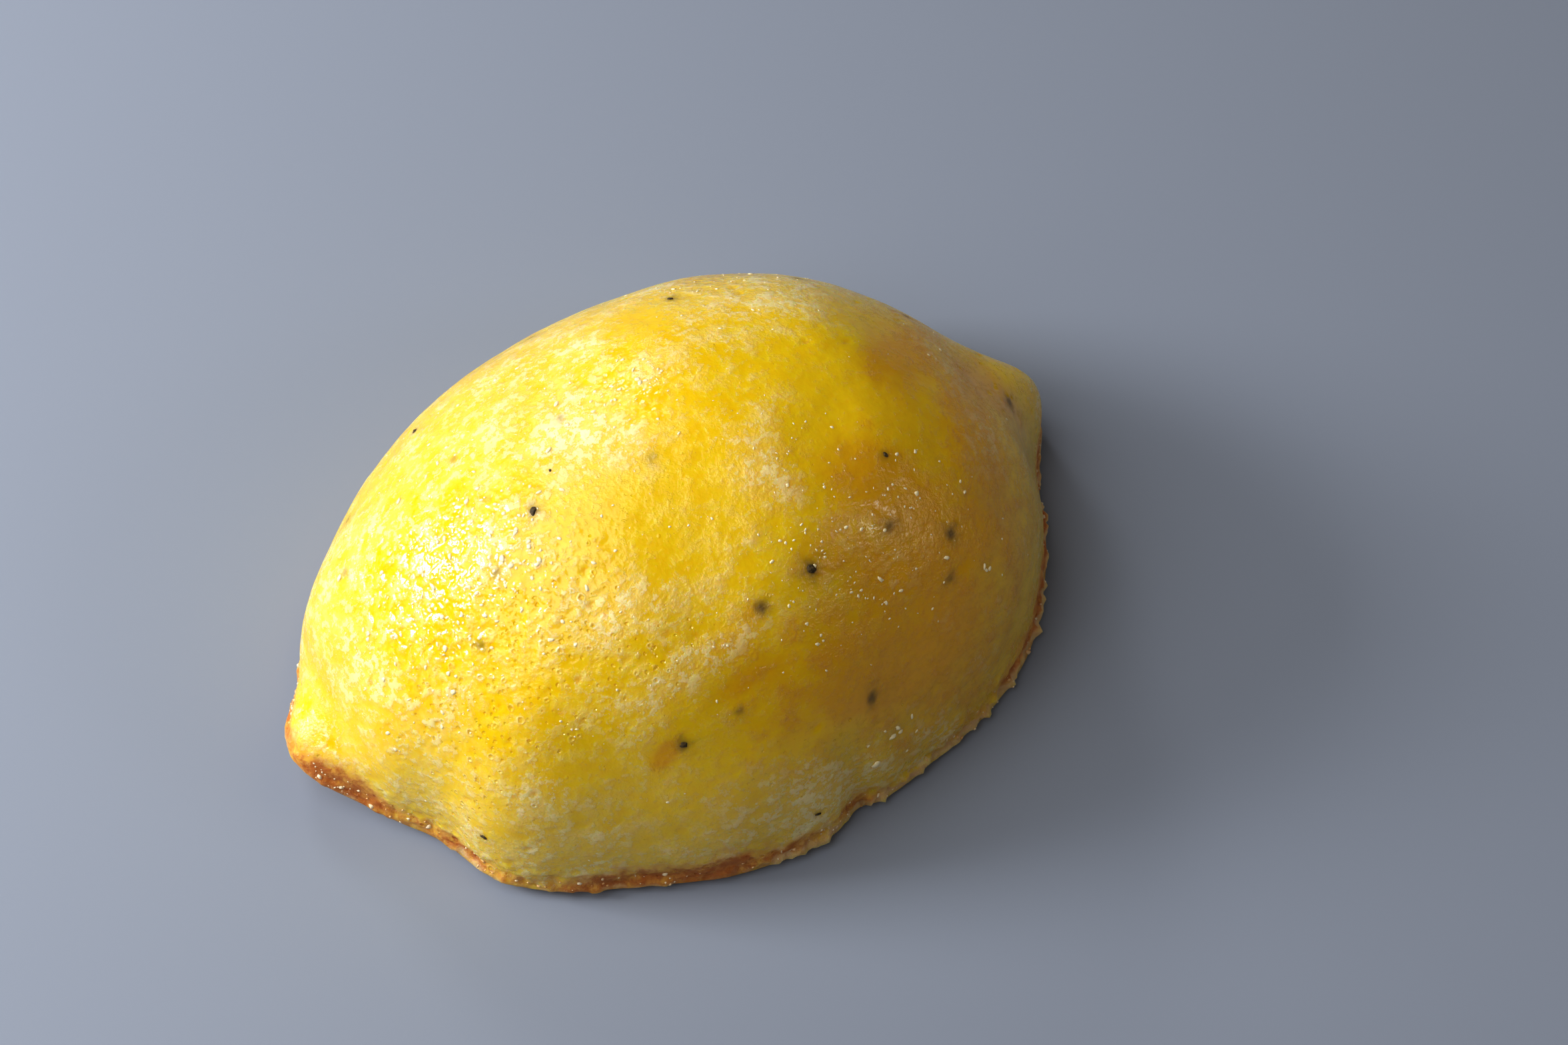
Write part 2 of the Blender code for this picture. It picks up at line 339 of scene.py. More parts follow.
# How brown the rim is baked and how high up the wall, over a middling all-round strength
BROWNING = (
    (-38.5, -4.0, 4.0, 3.6, 0.9), (-39.0, 5.0, 3.0, 4.0, 0.3), (-30.0, -14.0, 5.0, 4.0, 0.3),
    (-18.0, -25.0, 6.0, 3.0, 0.7), (-8.0, -28.0, 5.0, 3.0, 1.1), (3.0, -28.0, 4.0, 3.0, 0.5),
    (12.0, -27.0, 5.0, 3.0, -0.1), (24.0, -22.0, 4.0, 3.0, 0.8), (30.5, -16.0, 4.0, 4.0, 1.6),
    (35.5, -9.0, 3.0, 4.0, 1.6), (39.0, -2.0, 3.0, 3.0, 1.3), (33.0, 10.0, 4.0, 4.0, 0.9),
    (20.0, 23.0, 6.0, 4.0, 0.5), (-14.0, 26.0, 6.0, 3.0, 0.4), (-30.0, 15.0, 5.0, 4.0, 0.1),
)

# Where the crumb is open and full of pores
POROUS = (
    (-18.0, -8.5, 8.0, 5.0, 1.0), (-27.0, -5.0, 6.0, 6.0, 0.8), (-10.0, -16.0, 5.0, 3.0, 0.8),
    (-21.0, -15.0, 6.0, 4.0, 0.8), (-28.0, -14.0, 4.0, 4.0, 0.5), (3.0, -17.0, 3.0, 2.0, 0.3),
    (-4.0, 9.0, 4.0, 3.0, 0.3), (-2.0, -26.0, 12.0, 2.0, 0.5), (12.0, 21.0, 8.0, 4.0, 0.8),
    (-20.0, 20.0, 6.0, 4.0, 0.6), (30.0, 10.0, 4.0, 4.0, 0.5),
)

# Where the wet glaze is crinkled
CRINKLED = (
    (-24.0, 2.0, 6.0, 6.0, 1.0), (-18.0, 1.0, 5.0, 6.0, 0.8), (-20.0, -6.0, 7.0, 5.0, 0.7),
    (-29.0, -3.0, 5.0, 6.0, 0.6), (-14.0, -6.0, 4.0, 5.0, 0.4), (-3.0, 8.0, 4.0, 4.0, 0.5),
    (0.0, 4.0, 2.0, 3.0, 0.5), (10.0, -15.0, 6.0, 4.0, 0.3), (14.0, 18.0, 6.0, 4.0, 0.5),
)

# How far apart, in metres, the layers of a noise are taken
LAYER_SHIFT = 0.1
PORES = 1900
# Pore radii in mm: least, how much more on average, and greatest; and depths as shares of the radius
PORE_LEAST, PORE_MORE, PORE_GREATEST = 0.16, 0.07, 0.42
PORE_DEPTHS = (0.25, 0.6)
PORE_SEARCH = 1.7
BOX_MARGIN = 0.03 * MM
MIDDLING_BROWN = 0.45


def patches(places, table):
    """Sum of soft elliptical patches, given in mm over the plan, at every place."""
    total = np.zeros(len(places))
    x, y = places[:, 0] / MM, places[:, 1] / MM
    for middle_x, middle_y, half_length, half_width, strength in table:
        away = ((x - middle_x) / half_length) ** 2 + ((y - middle_y) / half_width) ** 2
        total += strength * np.exp(-away)
    return total


def layered_noise(places, *layers):
    """Sum of noises given as (size in mm, share), each taken from a place of its own."""
    total = np.zeros(len(places))
    for number, (size, share) in enumerate(layers):
        total += share * noise_at(places + LAYER_SHIFT * number, size * MM)
    return total


def pick_pores(bm, chance, count, generator):
    """Places for pores in the middles of faces, more of them where the chance is greater."""
    middles = np.array([face.calc_center_median() for face in bm.faces])
    areas = np.array([face.calc_area() for face in bm.faces])
    weights = areas * chance(middles)
    drawn = generator.choice(len(middles), size=count, replace=False, p=weights / weights.sum())
    return middles[drawn]


def sink_pores(places, pores, generator):
    """How deep the pores cut at every place, in metres, and how far a place is inside one, 0 to 1."""
    tree = kdtree.KDTree(len(places))
    for number, place in enumerate(places):
        tree.insert(place, number)
    tree.balance()
    warp = 1.0 + 0.4 * noise_at(places, 0.45 * MM) + 0.25 * noise_at(places, 0.9 * MM)
    depth = np.zeros(len(places))
    inside = np.zeros(len(places))
    for pore in pores:
        radius = MM * min(PORE_GREATEST, PORE_LEAST + generator.exponential(PORE_MORE))
        deep = radius * generator.uniform(*PORE_DEPTHS)
        for _, number, away in tree.find_range(pore, PORE_SEARCH * radius):
            share = away * warp[number] / radius
            if share < 1.0:
                depth[number] = max(depth[number], deep * (1.0 - share ** 2))
                inside[number] = max(inside[number], min(1.0, 1.6 * (1.0 - share)))
    return depth, inside


def fit_in_box(places):
    """Draw the places in, axis by axis, until they stay inside the frame's box."""
    low, high = np.array(cake_low), np.array(cake_high)
    middle = 0.5 * (low + high)
    middle[2] = 0.0
    room = np.maximum(high - middle, middle - low) - BOX_MARGIN
    size = np.abs(places - middle).max(axis=0)
    return middle + (places - middle) * np.minimum(1.0, room / size)


def bake_rim(places, above, under, rim_noise):
    """How browned the crust is, how floury its lip, and where the rim stays pale."""
    browned = MIDDLING_BROWN + patches(places, BROWNING)
    reach = (1.9 + 2.9 * np.clip(browned, 0.1, 3.0)) * MM
    strength = np.clip(0.5 + 0.5 * browned, 0.1, 1.0)
    crust = smooth_step(1.25, 0.2, above / reach + 0.35 * rim_noise) * strength
    pale = smooth_step(-12.0 * MM, -3.0 * MM, places[:, 0]) * smooth_step(0.0, -8.0 * MM, places[:, 1])
    patchy = pale * smooth_step(27.0 * MM, 17.0 * MM, places[:, 0])
    patchy *= np.clip(0.5 + 1.5 * noise_at(places, 2.2 * MM), 0.0, 1.0)
    crust = crust * (1.0 - 0.6 * patchy)
    dust_height = above / MM + 0.55 * rim_noise
    floury = smooth_step(1.4 + 0.5 * pale, 0.4 + 0.5 * pale, dust_height) * (1.0 - 0.6 * under)
    floury *= np.clip(0.60 + 0.9 * noise_at(places, 4.0 * MM) + 0.6 * pale, 0.0, 1.0)
    return crust, floury, pale


def relief(bm, above):
    """Fine relief of the crumb, the glaze and the rim, with the masks that the finish reads."""
    generator = np.random.default_rng(PORE_DRAW)
    places, normals = read_bmesh(bm)
    under = smooth_step(0.2, -0.5, normals[:, 2])
    dome = smooth_step(0.4 * MM, 2.4 * MM, above)
    cloud = patches(places, VEIL) + layered_noise(places, (7.0, 0.45), (3.2, 0.45), (1.5, 0.3))
    # Amber toasting, with broad painted shade over the right and front-right side
    amber_and_shade = patches(places, AMBER_AND_SHADE) + layered_noise(places, (5.0, 0.2), (2.0, 0.15))
    wet = np.clip(patches(places, CRINKLED) + 0.15, 0.0, 1.0)
    rim_noise = layered_noise(places, (4.0, 0.5), (1.6, 0.5), (0.8, 0.4))
    crust, floury, pale = bake_rim(places, above, under, rim_noise)
    crumbly = smooth_step(6.0 * MM, 3.0 * MM, above) * smooth_step(0.6 * MM, 1.6 * MM, above)
    porous = np.clip(patches(places, POROUS) + 0.12 + 0.45 * crumbly, 0.0, 1.0)

    def chance(middles):
        low_wall = 0.5 * smooth_step(5.0 * MM, 3.0 * MM, middles[:, 2])
        open_crumb = patches(middles, POROUS) + 0.10 + 0.12 * noise_at(middles, 6.0 * MM)
        return np.clip(open_crumb + low_wall, 0.01, 1.0) * (middles[:, 2] > 1.0 * MM)

    pores = pick_pores(bm, chance, PORES, generator)
    depth, inside = sink_pores(places, pores, generator)

    # Heights in mm: the dome's soft swellings and wet wrinkles
    height = 0.05 * cloud * dome
    height += layered_noise(places, (7.0, 0.14), (3.4, 0.04), (1.6, 0.03)) * dome
    height += wet * dome * layered_noise(places, (1.5, 0.045), (0.9, 0.03))

    # The ragged lip, the groove above it and the open crumb of the low wall, strongest in front
    lip = smooth_step(2.4 * MM, 0.5 * MM, above) * (1.0 - under)
    groove = smooth_step(0.5 * MM, 1.1 * MM, above) * smooth_step(2.6 * MM, 1.6 * MM, above)
    front = 0.4 + 0.6 * smooth_step(-4.0 * MM, -12.0 * MM, places[:, 1])
    height += lip * front * layered_noise(places, (2.6, 0.55), (1.3, 0.45), (0.7, 0.25))
    height += lip * pale * layered_noise(places, (1.8, 0.65), (0.8, 0.60))
    height -= 0.26 * groove * np.clip(0.2 + 2.2 * rim_noise, 0.0, 1.8)
    height += crumbly * front * layered_noise(places, (1.6, 0.20), (0.8, 0.18))

    height = height * MM - depth * smooth_step(0.2 * MM, 0.9 * MM, above) - 0.12 * MM * dome
    upright = normals.copy()
    upright[:, 2] *= dome
    move_bmesh(bm, fit_in_box(places + height[:, None] * upright))
    masks = {"cloud": cloud, "amber_and_shade": amber_and_shade, "pore": inside, "crust": np.maximum(crust, 0.8 * under)}
    masks.update({"floury": floury, "wet": wet, "under": under, "porous": porous})
    return masks


# ---------------------------------------------------------------- shader sums

class Sum:
    """A socket that takes part in sums of a finish."""

    def __init__(self, finish, socket):
        self.finish = finish
        self.socket = socket

    def math(self, operation, *values):
        return self.finish.node("ShaderNodeMath", {"operation": operation}, dict(enumerate(values)))

    def __add__(self, other):
        return self.math("ADD", self, other)

    def __sub__(self, other):
        return self.math("SUBTRACT", self, other)

    def __mul__(self, other):
        return self.math("MULTIPLY", self, other)

    def __rsub__(self, other):
        return self.math("SUBTRACT", other, self)

    def clamp(self, low=0.0, high=1.0):
        return self.finish.node("ShaderNodeClamp", {}, {"Value": self, "Min": low, "Max": high})

    def step(self, low, high):
        """0 below low, 1 above high, and smooth between."""
        ranges = {"interpolation_type": "SMOOTHSTEP"}
        return self.finish.node("ShaderNodeMapRange", ranges, {0: self, 1: low, 2: high})


class Finish:
    """A material in the making. Every node but the shader comes from its one method."""

    def __init__(self, name):
        self.material = bpy.data.materials.new(name)
        self.material.use_nodes = True
        self.tree = self.material.node_tree
        self.shader = self.tree.nodes["Principled BSDF"]
        self.place = self.node("ShaderNodeTexCoord", {}, {}, "Object")

    def feed(self, socket, value):
        if isinstance(value, Sum):
            self.tree.links.new(value.socket, socket)
        else:
            socket.default_value = value

    def node(self, kind, settings, values, output=0):
        node = self.tree.nodes.new(kind)
        for name, setting in settings.items():
            setattr(node, name, setting)
        for name, value in values.items():
            self.feed(node.inputs[name], value)
        return Sum(self, node.outputs[output])

    def noise(self, size, detail, roughness):
        """Noise from about 0.25 to 0.75 whose lumps are about the given size in metres."""
        values = {"Vector": self.place, "Scale": 1.0 / size, "Detail": detail, "Roughness": roughness}
        return self.node("ShaderNodeTexNoise", {}, values)

    def warped(self, size, reach):
        """The object's place, pushed about by noise."""
        values = {"Vector": self.place, "Scale": 1.0 / size, "Detail": 2.0}
        push = self.node("ShaderNodeTexNoise", {}, values, "Color")
        shares = {0: push, 1: (reach,) * 3, 2: self.place}
        return self.node("ShaderNodeVectorMath", {"operation": "MULTIPLY_ADD"}, shares)

    def cells(self, size, place):
        """Distance from the nearest cell's middle, in cell sizes, and that cell's chance, 0 to 1."""
        values = {"Vector": place, "Scale": 1.0 / size}
        distance = self.node("ShaderNodeTexVoronoi", {}, values, "Distance")
        return distance, Sum(self, distance.socket.node.outputs["Color"])

    def mask(self, name):
        return self.node("ShaderNodeAttribute", {"attribute_name": name}, {}, "Fac")

    def mix(self, share, first, second):
        return self.node("ShaderNodeMix", {"data_type": "RGBA"}, {0: share, 6: first, 7: second}, 2)

    def bump(self, height, depth):
        return self.node("ShaderNodeBump", {}, {"Height": height, "Distance": depth, "Strength": 1.0})

    def set(self, **values):
        for name, value in values.items():
            self.feed(self.shader.inputs[name.replace("_", " ")], value)


def rgb(red, green, blue):
    return (red, green, blue, 1.0)


GOLDEN_DEEP = rgb(0.86, 0.56, 0.001)
GOLDEN = rgb(0.90, 0.66, 0.005)
VEIL_COLOUR = rgb(0.93, 0.69, 0.19)
SOAKED_COLOUR = rgb(0.80, 0.49, 0.025)
# Pale flecks of the glaze, also painted on the rims of the pits as a highlight
FLECK_AND_HIGHLIGHT_COLOUR = rgb(0.98, 0.90, 0.62)
# Whitish film of the wet glaze, painted on the ridges of its wrinkles as a highlight
FILM_HIGHLIGHT_COLOUR = rgb(0.97, 0.82, 0.42)
# Amber of toasted crumb, also painted as shade over the right and front-right side
AMBER_AND_SHADE_COLOUR = rgb(0.74, 0.35, 0.002)
# Deeper golden of the crumb in the pits and pores, partly painted shade in these hollows
PORE_AND_SHADE_COLOUR = rgb(0.88, 0.58, 0.003)
CRUST_COLOUR = rgb(0.76, 0.38, 0.065)
BURNT_COLOUR = rgb(0.50, 0.15, 0.010)
LIP_COLOUR = rgb(0.78, 0.48, 0.21)
HALO_COLOUR = rgb(0.20, 0.11, 0.012)

# Patterns of the sponge: size of the lumps in metres, detail, roughness
BLOTCH = (0.0024, 8.0, 0.62)
SPECK = (0.0007, 3.0, 0.6)
GRAIN = (0.00030, 2.0, 0.5)
CRINKLE = (0.0009, 1.5, 0.45)
CURD = (0.0009, 5.0, 0.72)
# Sizes of its pits and dots in metres, and the size and reach of the noise that pushes the pits about
WIDE_PIT, FINE_PIT, DOT = 0.0012, 0.00062, 0.0007
PIT_PUSH = (0.0005, 0.0003)
RELIEF_DEPTH = 0.00021


# ---------------------------------------------------------------- pieces

# Poppy seeds in the crumb, in mm: x, y, radius, how much stands out of the glaze, darkness of the halo
SEEDS = (
    (5.4, -15.3, 0.62, 0.60, 0.8), (-13.9, 0.3, 0.50, 0.30, 0.6), (-0.1, -16.3, 0.50, 0.05, 0.9),
    (16.5, -8.9, 0.40, 0.35, 0.5), (13.8, -14.5, 0.50, 0.05, 0.8), (34.5, -2.3, 0.60, 0.10, 0.9),
    (-10.8, -21.5, 0.50, 0.20, 0.8), (6.8, -24.3, 0.50, 0.00, 1.0), (-19.1, -2.5, 0.42, 0.15, 0.6),
    (-22.9, -6.6, 0.40, 0.10, 0.7), (-10.9, 2.9, 0.20, 0.50, 0.0), (-7.7, 7.5, 0.40, 0.00, 0.5),
    (-29.8, 8.6, 0.40, 0.00, 0.5), (-17.2, 10.4, 0.35, 0.00, 0.5), (-28.9, -16.2, 0.42, 0.40, 0.3),
    (-0.8, -28.1, 0.42, 0.30, 0.4), (19.4, -16.1, 0.55, 0.00, 0.9), (17.7, -19.0, 0.45, 0.00, 0.7),
    (-3.0, -1.1, 0.40, 0.00, 0.4), (-5.3, -21.7, 0.40, 0.00, 0.6),
    (8.0, 16.5, 0.50, 0.30, 0.6), (-4.0, 22.5, 0.45, 0.10, 0.7), (21.0, 15.5, 0.50, 0.05, 0.8),
    (-18.0, 19.0, 0.45, 0.30, 0.5), (29.0, 8.5, 0.42, 0.10, 0.7), (3.0, 26.0, 0.42, 0.20, 0.6),
    (-27.0, 15.5, 0.40, 0.00, 0.6),
)
# Seeds that stand out less than this are only dark marks in the glaze
SEED_SHOWS = 0.2
SEED_SIZE = 0.8

# Drops of set glaze, coloured pale so that they also stand for painted glints, in mm: x, y, half length,
# half width, how many, largest radius
BEADS = (
    (-23.0, 2.0, 5.0, 5.5, 120, 0.30), (-17.0, 1.0, 4.0, 5.0, 60, 0.30),
    (-20.0, -6.0, 6.0, 4.0, 60, 0.26), (-28.0, -3.0, 4.0, 5.0, 40, 0.24),
    (-3.0, 8.0, 3.0, 3.0, 24, 0.30),
    (7.0, -14.5, 5.0, 4.0, 50, 0.20), (10.0, -17.0, 6.0, 3.0, 30, 0.22), (6.8, -14.6, 0.8, 0.6, 3, 0.20),
    (9.3, -18.2, 0.8, 0.5, 3, 0.38), (11.7, -18.4, 0.6, 0.4, 2, 0.34), (4.1, -20.0, 0.8, 0.5, 3, 0.34),
    (8.8, -13.2, 1.0, 0.8, 3, 0.28), (17.0, -13.0, 6.0, 4.0, 36, 0.22), (15.6, -11.6, 0.8, 0.6, 3, 0.28),
    (9.5, -8.0, 4.0, 5.0, 30, 0.16), (7.3, -26.3, 1.4, 0.7, 9, 0.50),
    (10.6, -25.8, 1.0, 0.6, 4, 0.45), (22.0, -18.0, 5.0, 3.0, 12, 0.28),
    (-20.0, 1.0, 9.0, 8.0, 60, 0.20), (-26.0, -3.0, 6.0, 6.0, 40, 0.18), (0.5, 5.0, 2.4, 3.4, 26, 0.24),
    (-6.0, 8.0, 3.0, 3.0, 12, 0.20), (-8.0, -8.0, 14.0, 9.0, 50, 0.14), (13.0, 17.0, 7.0, 5.0, 60, 0.22),
    (-16.0, 15.0, 8.0, 5.0, 40, 0.20), (24.0, 4.0, 6.0, 7.0, 20, 0.18),
    (-10.0, -20.0, 14.0, 4.0, 30, 0.16),
)
# Sizes of the drops as shares of the largest radius, how fast large ones thin out, and the lowest place
BEAD_LEAST, BEAD_GREATEST, BEAD_RATE = 0.35, 1.2, 3.5
BEAD_LOWEST = 3.0 * MM

# Crumbs of the rim: how many, their radii in mm, and how far from the middle they may lie
CRUMBS = 300
CRUMB_LEAST, CRUMB_GREATEST, CRUMB_RATE = 0.10, 0.34, 14.0
CRUMB_REACH = (39.6 * MM, 28.6 * MM)

# Starting numbers of the draws: pores, seeds, beads, and the places and shapes of the crumbs
PORE_DRAW, SEED_DRAW, BEAD_DRAW, CRUMB_PLACE_DRAW, CRUMB_SHAPE_DRAW = 11, 5, 9, 21, 22


def new_piece(name, bm, finish):
    mesh = bpy.data.meshes.new(name)
    bm.to_mesh(mesh)
    bm.free()
    mesh.shade_smooth()
    mesh.materials.append(finish)
    piece = bpy.data.objects.new(name, mesh)
    bpy.context.scene.collection.objects.link(piece)
    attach(piece, "root")
    return piece


def put_masks(piece, masks):
    for name, values in masks.items():
        layer = piece.data.attributes.new(name, "FLOAT", "POINT")
        layer.data.foreach_set("value", values.astype(np.float32))


def cell_pits(finish, porous, crust):
    """Small pits of the crumb and the raised rims round the wider ones, each 0 to 1; the finish also
    paints the rims pale as a highlight.
    """
    pushed = finish.warped(*PIT_PUSH)
    wide, wide_chance = finish.cells(WIDE_PIT, pushed)
    fine, fine_chance = finish.cells(FINE_PIT, pushed)
    wide_size = wide_chance * 0.50 + porous * 0.30 + crust * 0.12 - 0.42
    fine_size = fine_chance * 0.62 + porous * 0.34 - 0.45
    wide_pits = ((wide_size - wide) * 6.0).clamp()
    pits = wide_pits + ((fine_size - fine) * 5.0).clamp()
    rims = ((wide_size - wide + 0.12) * 6.0).clamp() - wide_pits
    return pits, rims


def sponge_finish():
    finish = Finish("glazed_sponge")
    cloud, amber_and_shade, pore = finish.mask("cloud"), finish.mask("amber_and_shade"), finish.mask("pore")
    crust, floury, halo = finish.mask("crust"), finish.mask("floury"), finish.mask("halo")
    under, wet, porous = finish.mask("under"), finish.mask("wet"), finish.mask("porous")
    blotch, speck, grain = finish.noise(*BLOTCH), finish.noise(*SPECK), finish.noise(*GRAIN)
    crinkle, curd = finish.noise(*CRINKLE), finish.noise(*CURD)
    pits, rims = cell_pits(finish, porous, crust)
    dots, dots_chance = finish.cells(DOT, finish.place)

    # Milky veil of the glaze, its curds and dots, pale rims of the pits painted as a highlight, and a
    # whitish film painted as a highlight on the ridges of its wrinkles
    veil = (cloud * 0.40 + blotch * 2.4 + speck * 0.9 - 1.30).step(0.0, 0.9)
    curds = (curd + cloud * 0.05 + blotch * 0.2 - 0.63).step(0.0, 0.04)
    dot = ((dots_chance * 0.40 - 0.14 - dots) * 8.0).clamp()
    milky = (cloud * 0.45 - amber_and_shade * 0.5 + 0.38).clamp()
    flecks_and_rim_highlights = (rims * 0.9 + dot * 1.1 + curds * 0.7) * milky
    film_highlight = (crinkle - 0.5).step(0.02, 0.10) * wet

    # Yellow crumb under the glaze, from golden to toasted, with amber also painted as shade over the
    # right and front-right side
    toasted = (amber_and_shade * 1.2 + blotch * 1.2 - 0.9).step(0.0, 1.0)
    golden = finish.mix((blotch * 2.4 - 0.7).clamp(), GOLDEN_DEEP, GOLDEN)
    soaked = finish.mix((amber_and_shade * 1.7 + 0.1).clamp(), VEIL_COLOUR, SOAKED_COLOUR)
    colour = finish.mix(veil * (0.85 - wet * 0.45), golden, soaked)
    colour = finish.mix(toasted * 0.75, colour, AMBER_AND_SHADE_COLOUR)
    # Pale flecks, and painted highlights on the rims of the pits
    colour = finish.mix(flecks_and_rim_highlights, colour, FLECK_AND_HIGHLIGHT_COLOUR)
    # Painted highlight on the ridges of the wet wrinkles
    colour = finish.mix(film_highlight * 0.12, colour, FILM_HIGHLIGHT_COLOUR)
    # Pits and pores a deeper golden: partly the crumb's own colour, partly painted shade in the hollows
    colour = finish.mix((pits * 0.8 + pore * 0.7).clamp(), colour, PORE_AND_SHADE_COLOUR)

    # Browned crust with its floury lip, and the smudges round the seeds
    baked = (crust * 1.8 + blotch * 1.4 + speck * 0.8 - 1.25).step(0.0, 1.5)
    burnt = (crust * 1.3 + speck * 1.6 + blotch * 1.6 + pits * 0.3 - 2.2).step(0.0, 0.8)
    dusty = (floury + blotch * 1.2 + speck * 0.9 - 1.25).step(0.0, 0.8)
    colour = finish.mix(baked, colour, finish.mix(burnt, CRUST_COLOUR, BURNT_COLOUR))
    colour = finish.mix(dusty, colour, LIP_COLOUR)
    colour = finish.mix(halo, colour, HALO_COLOUR)

    # Shine of the wet glaze, and fine relief
    dry = (baked + dusty + under).clamp()
    rough = (dry * 0.35 + veil * 0.14 + pits * 0.15 + 0.20) * (1.0 - wet * 0.9) + halo * 0.3
    rugged = (grain * 0.30 + speck * 0.40) * (veil * 0.7 + 0.35)
    height = rugged * (1.1 - wet) + crinkle * wet * 1.5 - pits * 0.8 + rims * 0.3 + curds * 0.14
    normal = finish.bump(height, RELIEF_DEPTH)
    finish.set(Base_Color=colour, Roughness=rough.clamp(0.04, 1.0), Normal=normal)
    finish.set(Subsurface_Weight=0.75, Subsurface_Scale=0.0026, Subsurface_Radius=(1.0, 0.6, 0.12))
    finish.set(IOR=1.5, Specular_IOR_Level=0.6)
    return finish.material


def glaze_and_glint_finish():
    finish = Finish("sugar_glaze_painted_glints")
    # Pale cream: the set glaze, partly a painted glint that shows without a lamp catching it
    finish.set(Base_Color=rgb(0.98, 0.85, 0.52), Roughness=0.08, IOR=1.6)
    return finish.material


def crumb_finish():
    finish = Finish("rim_crumbs")
    toasted = finish.noise(0.0030, 2.0, 0.5).step(0.45, 0.62)
    colour = finish.mix(toasted, rgb(0.90, 0.76, 0.52), rgb(0.78, 0.46, 0.18))
    finish.set(Base_Color=colour, Roughness=0.8)
    return finish.material


def seed_finish():
    finish = Finish("poppy_seed")
    pitted = finish.noise(0.00022, 3.0, 0.6)
    colour = finish.mix(pitted.step(0.35, 0.7), rgb(0.030, 0.020, 0.008), rgb(0.12, 0.08, 0.03))
    finish.set(Base_Color=colour, Roughness=0.6, Normal=finish.bump(pitted, 0.00006))
    finish.set(Specular_IOR_Level=0.25)
    return finish.material


def surface_under(tree, x, y):
    """Point and normal of the cake straight below a place in plan, given in mm."""
    start = Vector((x * MM, y * MM, 50.0 * MM))
    point, normal, _, _ = tree.ray_cast(start, Vector((0.0, 0.0, -1.0)))
    return point, normal


def halos(places, tree):
    """Dark smudges that the seeds leave in the glaze round them."""
    smudge = np.zeros(len(places))
    warp = 1.0 + 0.6 * noise_at(places, 0.9 * MM) + 0.3 * noise_at(places, 0.4 * MM)
    for x, y, radius, _, darkness in SEEDS:
        point, _ = surface_under(tree, x, y)
        away = np.linalg.norm(places - np.array(point), axis=1) * warp / (radius * MM)
        mark = darkness * np.exp(-(away / 1.1) ** 2) + 0.2 * darkness * np.exp(-(away / 2.4) ** 2)
        smudge = np.maximum(smudge, mark)
    return np.clip(smudge, 0.0, 1.0)


def lie_on(point, normal, sink, turn, stretch):
    """Matrix that lays a piece on the surface, turned about its normal and stretched along its axes."""
    lie = normal.to_track_quat("Z", "Y").to_matrix().to_4x4()
    lie.translation = point - sink * normal
    return lie @ Matrix.Rotation(turn, 4, "Z") @ Matrix.Diagonal((*stretch, 1.0))


def add_grain(bm, matrix, level, draw, rough):
    """One lumpy grain of unit radius, taken to its place."""
    made = bmesh.ops.create_icosphere(bm, subdivisions=level, radius=1.0)["verts"]
    shift = Vector((draw.uniform(0.0, 50.0), 0.0, 0.0))
    for vert in made:
        vert.co = matrix @ (vert.co * (1.0 + rough * noise.noise(vert.co * 1.1 + shift)))


def make_seeds(tree):
    draw = random.Random(SEED_DRAW)
    bm = bmesh.new()
    for x, y, radius, proud, _ in SEEDS:
        if proud < SEED_SHOWS:
            continue
        point, normal = surface_under(tree, x, y)
        size = radius * MM * SEED_SIZE
        stretch = (size, size * draw.uniform(0.6, 0.85), size * 0.45)
        turn = draw.uniform(0.0, math.pi)
        matrix = lie_on(point, normal, size * (0.25 - 0.35 * proud), turn, stretch)
        add_grain(bm, matrix, 3, draw, 0.5)
    new_piece("poppy_seeds", bm, seed_finish())


def make_beads(tree):
    """Little drops of set sugar glaze, coloured pale so that they also stand for painted glints."""
    draw = random.Random(BEAD_DRAW)
    bm = bmesh.new()
    for x, y, half_length, half_width, count, radius in BEADS:
        for _ in range(count):
            place = (draw.gauss(x, 0.8 * half_length), draw.gauss(y, 0.8 * half_width))
            point, normal = surface_under(tree, *place)
            size = radius * MM * min(BEAD_GREATEST, BEAD_LEAST + draw.expovariate(BEAD_RATE))
            turn = draw.uniform(0.0, 2.0 * math.pi)
            if point is None or point.z < BEAD_LOWEST:
                continue
            stretch = (size, size * draw.uniform(0.45, 0.9), size * 0.4)
            add_grain(bm, lie_on(point, normal, 0.08 * size, turn, stretch), 2, draw, 0.5)
    new_piece("glaze_beads", bm, glaze_and_glint_finish())


